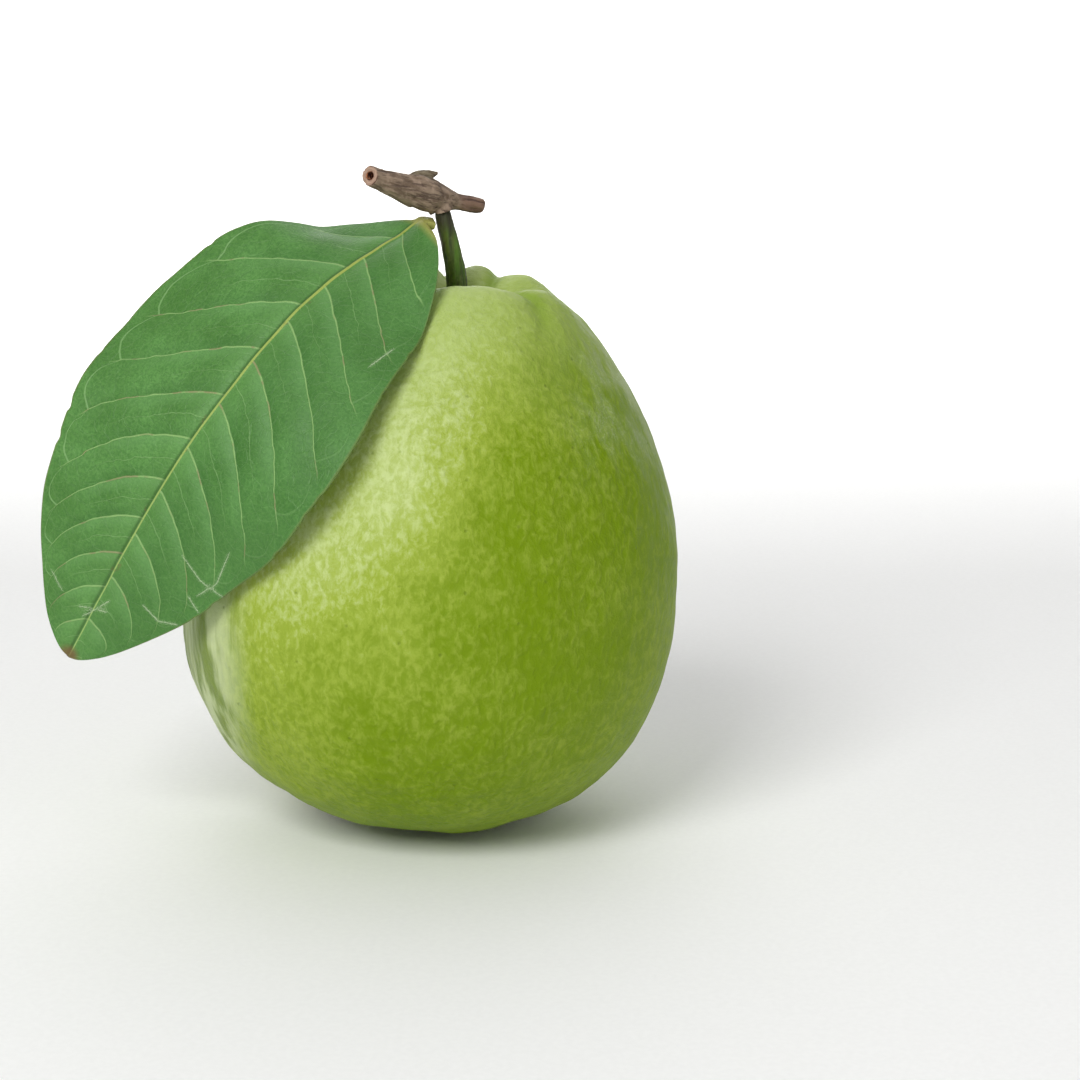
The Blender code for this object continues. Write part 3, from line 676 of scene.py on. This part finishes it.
upper, tree, shader = new_finish("leaf_upper_face")
flat = add(tree, "ShaderNodeUVMap", uv_map="flat").outputs[0]
flat_at, blade_at, veins_at = (values_of(tree, layer) for layer in ("flat", "blade", "veins"))
coords = add(tree, "ShaderNodeTexCoord").outputs["Object"]
marks_read = add(tree, "ShaderNodeAttribute", attribute_name="marks").outputs
marked = add(tree, "ShaderNodeSeparateColor", {0: marks_read["Color"]}).outputs
across = sum_of(tree, "ABSOLUTE", flat_at["X"])
column = sum_of(tree, "ABSOLUTE", sum_of(tree, "MULTIPLY_ADD", blade_at["X"], 2.0, -1.0))
station = blade_at["Y"]
wobble = noise_of(tree, flat, 2.2)
wobble = sum_of(tree, "MULTIPLY_ADD", wobble, 0.12, -0.06)
passed = sum_of(tree, "ADD", veins_at["X"], sum_of(tree, "MULTIPLY", wobble, rise(tree, column, 0.0, 0.3)))
off_vein = sum_of(tree, "MULTIPLY", sum_of(tree, "PINGPONG", passed, 0.5), veins_at["Y"])
vein_width = rise(tree, column, 0.0, 0.9, 0.021, 0.012)
side_veins = rise(tree, sum_of(tree, "DIVIDE", off_vein, vein_width), 1.5, 0.5)
side_veins = sum_of(tree, "MULTIPLY", side_veins, rise(tree, column, 0.94, 0.80))
after_vein = sum_of(tree, "FRACT", passed)
bulge = sum_of(tree, "SINE", sum_of(tree, "MULTIPLY", sum_of(tree, "POWER", after_vein, 0.7), math.pi))
loop_line = sum_of(tree, "MULTIPLY_ADD", bulge, 0.11, 0.825)
off_loop = sum_of(tree, "ABSOLUTE", sum_of(tree, "SUBTRACT", column, loop_line))
off_loop = sum_of(tree, "MULTIPLY", off_loop, 2.6)
loops = rise(tree, off_loop, 0.020, 0.006)
between = sum_of(tree, "ADD", passed, sum_of(tree, "MULTIPLY_ADD", wobble, 1.3, 0.47))
off_between = sum_of(tree, "MULTIPLY", sum_of(tree, "PINGPONG", between, 0.5), veins_at["Y"])
number = sum_of(tree, "FLOOR", between)
drawn = add(tree, "ShaderNodeTexWhiteNoise", {"W": number}, noise_dimensions="1D").outputs["Value"]
reach = sum_of(tree, "MULTIPLY_ADD", drawn, 0.45, 0.2)
fading = sum_of(tree, "SUBTRACT", column, reach)
fine_veins = sum_of(tree, "MULTIPLY", rise(tree, off_between, 0.013, 0.004), rise(tree, fading, 0.1, -0.15))
net_noise = noise_of(tree, flat, 5.0, output="Color")
net_place = add(tree, "ShaderNodeVectorMath", {0: net_noise, "Scale": 0.14}, operation="SCALE").outputs[0]
net_place = add(tree, "ShaderNodeVectorMath", {0: flat, 1: net_place}, operation="ADD").outputs[0]
net_lines = rise(tree, net_of(tree, net_place, 3.6), 0.06, 0.0)
fine_lines = rise(tree, net_of(tree, net_place, 11.0), 0.10, 0.0)
rib_width = rise(tree, station, 0.0, 1.0, 0.031, 0.012)
rib = rise(tree, sum_of(tree, "DIVIDE", across, rib_width), 1.25, 0.75)

clouds = mask_of(tree, patches, coords, Scale=110.0, Detail=5.0, Low=0.30, High=0.72)
freckles = mask_of(tree, patches, net_place, Scale=20.0, Detail=4.0, Low=0.36, High=0.66)
colour = blend(tree, clouds, paint(73, 119, 51), paint(89, 139, 68))
colour = tint(tree, freckles, 0.50, colour, paint(42, 92, 30))
# Painted shade: the right half of the blade, turned away from the light, is darker.
shaded_right_half = rise(tree, blade_at["X"], 0.48, 0.60)
colour = tint(tree, shaded_right_half, 0.30, colour, paint(58, 104, 44))
# Painted highlight just past each side vein, for the light on the sunk veins and the pillows between them.
vein_lit_side = sum_of(tree, "MULTIPLY", rise(tree, after_vein, 0.45, 0.0), rise(tree, column, 0.95, 0.2))
colour = tint(tree, vein_lit_side, 0.40, colour, paint(110, 158, 94))
# Painted shade in the groove just before each side vein.
groove = sum_of(tree, "MULTIPLY", rise(tree, after_vein, 0.62, 0.97), rise(tree, column, 0.9, 0.3))
colour = tint(tree, groove, 0.38, colour, paint(48, 96, 36))
# Painted sheen: the blade is lighter along the midrib.
colour = tint(tree, rise(tree, across, 0.7, 0.05), 0.24, colour, paint(102, 150, 80))
colour = tint(tree, fine_lines, 0.11, colour, paint(112, 158, 90))
colour = tint(tree, net_lines, 0.12, colour, paint(116, 162, 94))
colour = tint(tree, fine_veins, 0.55, colour, paint(128, 170, 104))
left_only = rise(tree, blade_at["X"], 0.6, 0.4, 0.16, 0.55)
colour = blend(tree, sum_of(tree, "MULTIPLY", loops, left_only), colour, paint(130, 172, 108))
pinkish = mask_of(tree, patches, flat, Scale=1.7, Detail=3.0, Low=0.52, High=0.62)
dull = sum_of(tree, "MULTIPLY", pinkish, 0.7)
vein_colour = blend(tree, dull, paint(140, 178, 108), paint(146, 122, 96))
colour = tint(tree, side_veins, 0.75, colour, vein_colour)
left_of_rib = rise(tree, flat_at["X"], 0.0, -0.04)
shadow = sum_of(tree, "MULTIPLY", rise(tree, flat_at["X"], -0.11, -0.05), left_of_rib)
colour = tint(tree, shadow, 0.65, colour, paint(44, 80, 24))
rib_colour = blend(tree, station, paint(154, 166, 74), paint(142, 172, 98))
colour = blend(tree, rib, colour, rib_colour)
browned = mask_of(tree, patches, flat, Scale=2.6, Detail=5.0, Low=0.60, High=0.66)
beside_rib = rise(tree, across, 0.12, 0.02)
colour = tint(tree, sum_of(tree, "MULTIPLY", browned, beside_rib), 0.6, colour, paint(104, 84, 52))
scratchy = noise_of(tree, flat, 9.0, 5.0, 0.7)
off_scar = sum_of(tree, "ADD", marks_read["Alpha"], sum_of(tree, "MULTIPLY_ADD", scratchy, 0.07, -0.535))
off_scar = sum_of(tree, "ABSOLUTE", off_scar)
near_scar = rise(tree, marked[0], 0.30, 0.85)
worn = mask_of(tree, patches, flat, Scale=30.0, Detail=4.0, Low=0.34, High=0.56)
patchy = sum_of(tree, "MULTIPLY_ADD", worn, 0.5, 0.5)
scar = sum_of(tree, "MULTIPLY", rise(tree, off_scar, 0.022, 0.006), patchy)
hairs = sum_of(tree, "MULTIPLY", rise(tree, off_scar, 0.075, 0.03), rise(tree, worn, 0.6, 1.0, 0.0, 0.28))
scar = sum_of(tree, "MULTIPLY", sum_of(tree, "MAXIMUM", scar, hairs), near_scar)
colour = tint(tree, scar, 0.75, colour, paint(178, 198, 158))
margin = rise(tree, column, 0.982, 0.997)
colour = tint(tree, margin, 0.45, colour, paint(124, 134, 76))
colour = tint(tree, rise(tree, marked[1], 0.2, 0.8), 0.8, colour, paint(112, 84, 52))
stem = rise(tree, station, 0.022, 0.002)
colour = blend(tree, stem, colour, paint(160, 160, 86))
tree.links.new(colour, shader.inputs["Base Color"])
tree.links.new(rise(tree, clouds, 0.0, 1.0, 0.46, 0.56), shader.inputs["Roughness"])
shader.inputs["Specular IOR Level"].default_value = 0.35
relief = sum_of(tree, "MULTIPLY_ADD", side_veins, 0.6, sum_of(tree, "MULTIPLY", fine_veins, 0.35))
relief = sum_of(tree, "MULTIPLY_ADD", loops, 0.35, relief)
relief = sum_of(tree, "MULTIPLY_ADD", net_lines, -0.30, relief)
relief = sum_of(tree, "MULTIPLY_ADD", fine_lines, -0.16, relief)
relief = sum_of(tree, "MULTIPLY_ADD", scar, 0.5, relief)
bump = add(tree, "ShaderNodeBump", {"Strength": 0.75, "Distance": 0.0002, "Height": relief})
tree.links.new(bump.outputs[0], shader.inputs["Normal"])

lower, tree, shader = new_finish("leaf_lower_face")
flat = add(tree, "ShaderNodeUVMap", uv_map="flat").outputs[0]
flat_at, blade_at, veins_at = (values_of(tree, layer) for layer in ("flat", "blade", "veins"))
across = sum_of(tree, "ABSOLUTE", flat_at["X"])
column = sum_of(tree, "ABSOLUTE", sum_of(tree, "MULTIPLY_ADD", blade_at["X"], 2.0, -1.0))
off_vein = sum_of(tree, "MULTIPLY", sum_of(tree, "PINGPONG", veins_at["X"], 0.5), veins_at["Y"])
side_veins = sum_of(tree, "MULTIPLY", rise(tree, off_vein, 0.05, 0.02), rise(tree, column, 0.95, 0.8))
net_lines = rise(tree, net_of(tree, flat, 4.0), 0.09, 0.0)
clouds = mask_of(tree, patches, flat, Scale=1.4, Detail=4.0, Low=0.4, High=0.62)
colour = blend(tree, clouds, paint(122, 156, 96), paint(146, 178, 118))
colour = tint(tree, net_lines, 0.35, colour, paint(166, 190, 132))
colour = blend(tree, side_veins, colour, paint(180, 190, 124))
colour = blend(tree, rise(tree, across, 0.10, 0.06), colour, paint(184, 180, 104))
stem = rise(tree, blade_at["Y"], 0.022, 0.002)
colour = blend(tree, stem, colour, paint(160, 160, 86))
tree.links.new(colour, shader.inputs["Base Color"])
tree.links.new(rise(tree, clouds, 0.0, 1.0, 0.6, 0.7), shader.inputs["Roughness"])
relief = sum_of(tree, "MULTIPLY_ADD", net_lines, 0.5, side_veins)
bump = add(tree, "ShaderNodeBump", {"Strength": 0.6, "Distance": 0.0002, "Height": relief})
tree.links.new(bump.outputs[0], shader.inputs["Normal"])

leaf.data.materials.append(upper)
leaf.data.materials.append(lower)
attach(leaf, "root")
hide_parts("leaf")

# Floor: a sheet of pale paper that curves up behind the fruit, as a photographer's sweep does.
bpy.ops.object.select_all(action="DESELECT")
bpy.ops.mesh.primitive_plane_add(size=3, location=(0, 0, -0.0002))
floor = bpy.context.object
floor.name = "paper_sweep"
bpy.ops.object.mode_set(mode="EDIT")
bpy.ops.mesh.select_all(action="DESELECT")
bpy.ops.object.mode_set(mode="OBJECT")
for line in floor.data.edges:
    line.select = all(floor.data.vertices[i].co.y > 1 for i in line.vertices)
bpy.ops.object.mode_set(mode="EDIT")
bpy.ops.mesh.extrude_region_move(TRANSFORM_OT_translate={"value": (0, 0, 2)})
bpy.ops.object.mode_set(mode="OBJECT")
finish_with(floor, "BEVEL", width=0.7, segments=24, limit_method="ANGLE")
bpy.ops.object.transform_apply(location=True, rotation=True, scale=True)
bpy.ops.object.shade_smooth()
paper, tree, shader = new_finish("pale_paper")
coords = add(tree, "ShaderNodeTexCoord").outputs["Object"]
fibres = mask_of(tree, patches, coords, Scale=900.0, Detail=4.0, Low=0.3, High=0.7)
tree.links.new(blend(tree, fibres, paint(242, 242, 241), paint(245, 245, 244)), shader.inputs["Base Color"])
shader.inputs["Roughness"].default_value = 0.9
floor.data.materials.append(paper)

# Lights and camera: a large soft light at the front left, weaker ones on the right and above the back,
# one for the paper behind, and the photographer's long lens a little above the fruit.
for label, spot, aim, size, power in (
    ("key_light", (-0.42, -0.90, 0.78), (0, 0, 0.06), 0.55, 10.5),
    ("fill_light", (0.80, -0.55, 0.35), (0, 0, 0.06), 0.60, 0.6),
    ("top_light", (0.05, 0.45, 0.95), (0, 0, 0.06), 0.80, 1.3),
    ("paper_light", (0, 0.75, 0.90), (0, 1.5, 0.45), 0.90, 15.0),
):
    lamp = bpy.data.lights.new(label, "AREA")
    lamp.size, lamp.energy = size, power
    holder = bpy.data.objects.new(label, lamp)
    holder.location = spot
    holder.rotation_euler = (Vector(aim) - Vector(spot)).to_track_quat("-Z", "Y").to_euler()
    bpy.context.scene.collection.objects.link(holder)
world = bpy.data.worlds.new("studio")
world.use_nodes = True
world.node_tree.nodes["Background"].inputs["Color"].default_value = (1.0, 1.0, 1.0, 1)
world.node_tree.nodes["Background"].inputs["Strength"].default_value = 0.38
bpy.context.scene.world = world
bpy.context.scene.view_settings.view_transform = "Standard"

lens = bpy.data.cameras.new("camera")
lens.lens, lens.sensor_width, lens.clip_start = 85, 36, 0.01
camera = bpy.data.objects.new("camera", lens)
bpy.context.scene.collection.objects.link(camera)
tilt = math.radians(12)
seen = Vector((0.0204, 0, 0)) + Vector((0, math.sin(tilt), math.cos(tilt))) * 0.0544
camera.location = seen - Vector((0, math.cos(tilt), -math.sin(tilt))) * 0.51
camera.rotation_euler = (math.radians(90) - tilt, 0, 0)
bpy.context.scene.camera = camera

bpy.context.view_layer.update()
